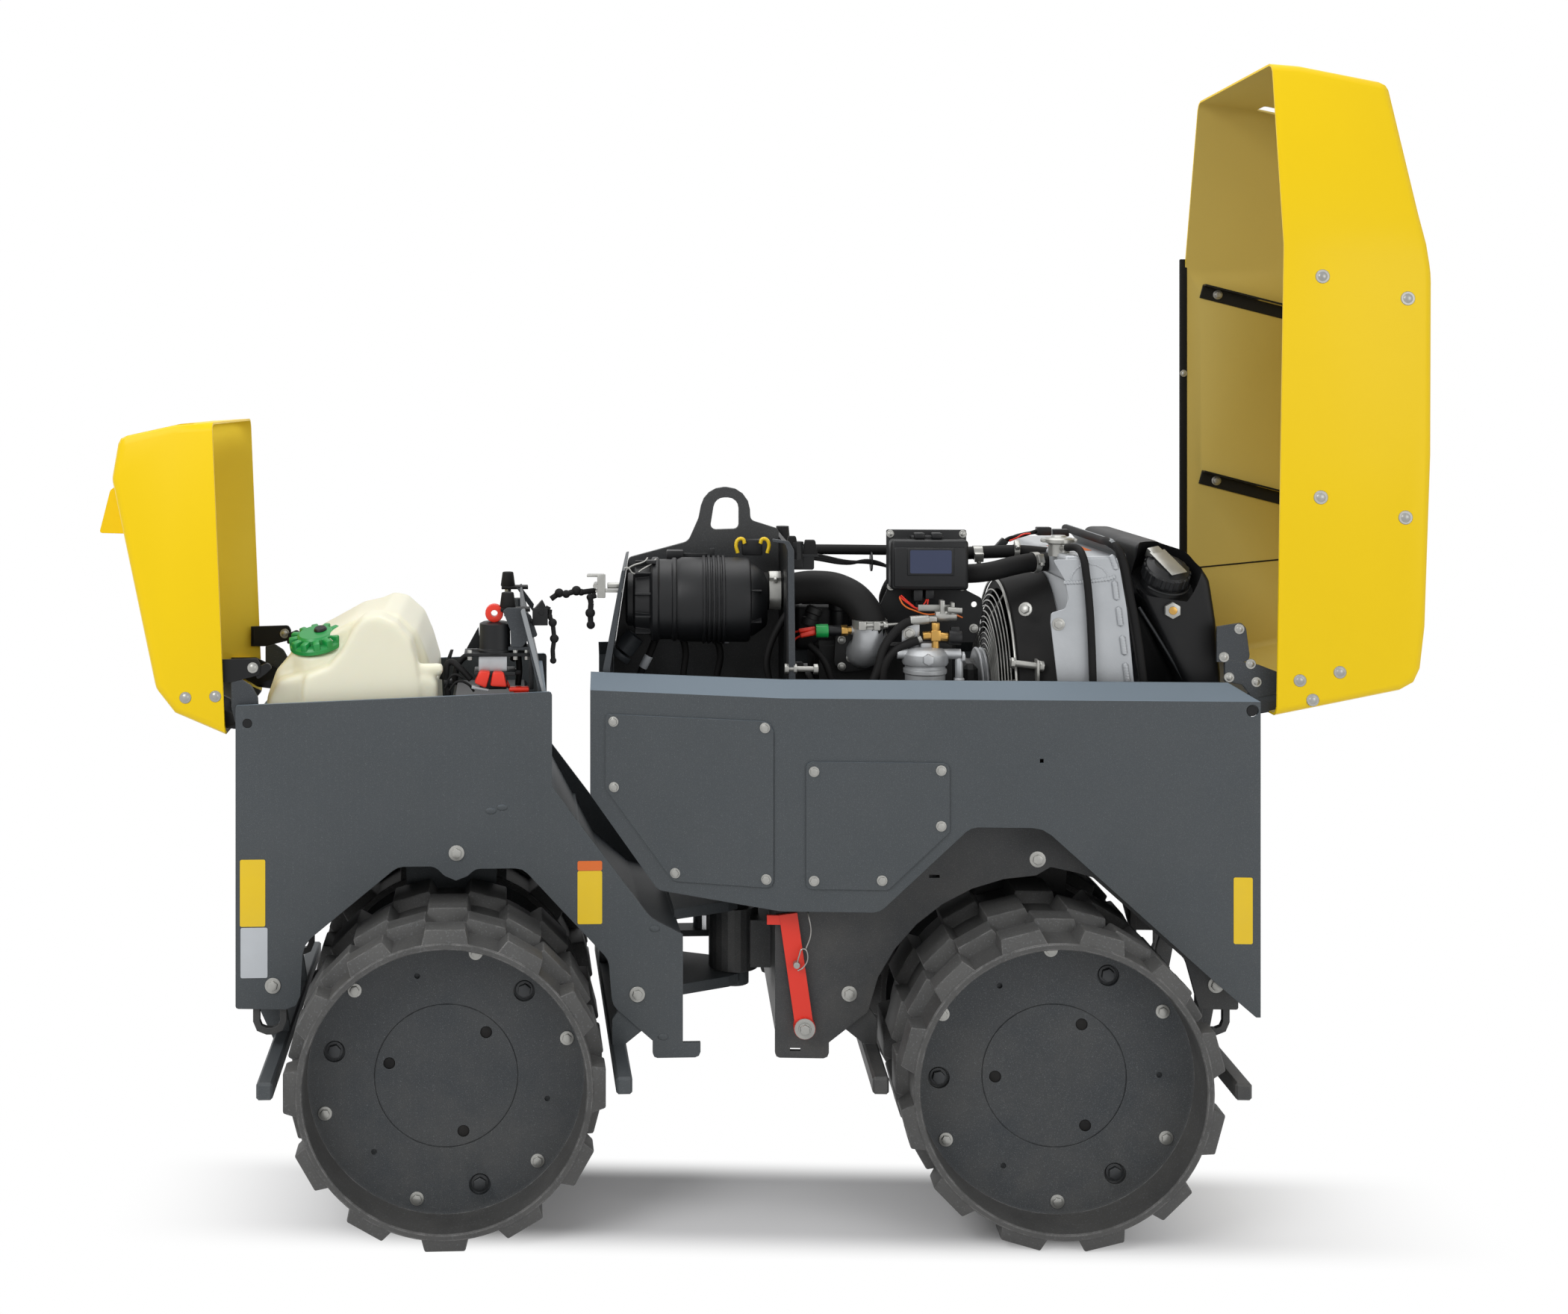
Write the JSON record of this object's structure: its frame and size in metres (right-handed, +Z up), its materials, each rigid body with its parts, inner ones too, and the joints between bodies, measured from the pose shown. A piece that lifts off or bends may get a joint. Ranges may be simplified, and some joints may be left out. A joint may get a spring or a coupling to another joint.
{
  "type": "articulated trench roller",
  "caption": "Articulated trench roller on lugged drums, with a steering pivot and its cylinder, an open engine bay and raised hoods.",
  "frame": {"origin": "centre of the bounding box at floor level, under the machine as parked with its hoods open", "axes": "+X towards the rear unit along its middle plane, +Y to the far side, +Z up"},
  "size_m": [2.4137, 0.8871, 2.065],
  "materials": {
    "alloy": "plain aluminium",
    "black": "moulded, matt",
    "black_metal": "satin paint",
    "body": "textured satin paint",
    "cast": "painted casting",
    "chrome": "polished",
    "drum": "worn satin paint",
    "frame": "satin paint",
    "green": "moulded plastic",
    "grey": "satin paint",
    "red": "gloss paint",
    "rubber": "matt rubber",
    "steel": "plain steel",
    "white": "translucent moulded plastic",
    "yellow": "gloss paint",
    "zinc": "zinc plated"
  },
  "bodies": {
    "rear_unit": {"air_cleaner": "black", "air_cleaner_strap": "steel", "bulkhead_fore": "grey", "bulkhead_mid": "grey", "control_box": "black", "coolant_hose": "rubber", "cover_aft_far": "body", "cover_aft_near": "body", "cover_fore_far": "body", "cover_fore_near": "body", "edge_panel": "rubber", "engine": "cast", "fan": "black", "fan_guard": "steel", "fan_shroud": "black", "fuel_cap": "black", "fuel_filter": "zinc", "fuel_tank": "black", "intake_elbow": "alloy", "intake_hose": "rubber", "lifting_plate": "frame", "lock_bar": "red", "radiator": "alloy", "rear_frame": "frame", "rear_panel": "body", "rear_tie_loop_far": "frame", "rear_tie_loop_near": "frame", "skin_far": "body", "skin_near": "body", "steer_anchor": "steel"},
    "front_unit": {"battery": "black", "battery_switch": "steel", "front_bulkhead": "grey", "front_frame": "body", "front_tank": "white", "front_tank_cap": "green", "front_tie_loop_far": "frame", "front_tie_loop_near": "frame"},
    "rear_hood": {"rear_hood": "yellow"},
    "front_hood": {"front_hood": "yellow", "sensor_box": "yellow"},
    "rear_drum": {"rear_drum_near": "drum", "rear_drum_far": "drum", "rear_axle": "steel"},
    "front_drum": {"front_drum_near": "drum", "front_drum_far": "drum", "front_axle": "steel"},
    "steer_barrel": {"steer_barrel": "black_metal"},
    "steer_rod": {"steer_rod": "chrome"}
  },
  "joints": [
    {"name": "steering", "type": "hinge", "parent": "rear_unit", "child": "front_unit", "pos_m": [-0.0061, 0.0336, 0.415], "axis": [0, 0, 1], "range_deg": [-34.92, 25.08]},
    {"name": "rear_drum_spin", "type": "hinge", "parent": "rear_unit", "child": "rear_drum", "pos_m": [0.5399, 0.0336, 0.27581], "axis": [0, 1, 0], "continuous": true},
    {"name": "front_drum_spin", "type": "hinge", "parent": "front_unit", "child": "front_drum", "pos_m": [-0.55009, -0.01323, 0.27581], "axis": [-0.0858, 0.9963, 0], "continuous": true},
    {"name": "rear_hood_hinge", "type": "hinge", "parent": "rear_unit", "child": "rear_hood", "pos_m": [0.8929, 0.0336, 0.91], "axis": [0, 1, 0], "range_deg": [-90, 0]},
    {"name": "front_hood_hinge", "type": "hinge", "parent": "front_unit", "child": "front_hood", "pos_m": [-0.90777, -0.04402, 0.877], "axis": [-0.0858, 0.9963, 0], "range_deg": [0, 90]},
    {"name": "steer_barrel_turn", "type": "hinge", "parent": "rear_unit", "child": "steer_barrel", "pos_m": [0.2389, 0.1586, 0.415], "axis": [0, 0, 1], "range_deg": [-4.3, 3.1]},
    {"name": "steer_rod_slide", "type": "slide", "parent": "steer_barrel", "child": "steer_rod", "axis": [-0.9952, -0.0975, 0], "range_m": [-0.0615, 0.0445]}
  ],
  "couplings": [
    {"joint": "steer_barrel_turn", "follows": "steering", "ratio": 0.12},
    {"joint": "steer_rod_slide", "follows": "steering", "m_per_rad": 0.1003}
  ]
}
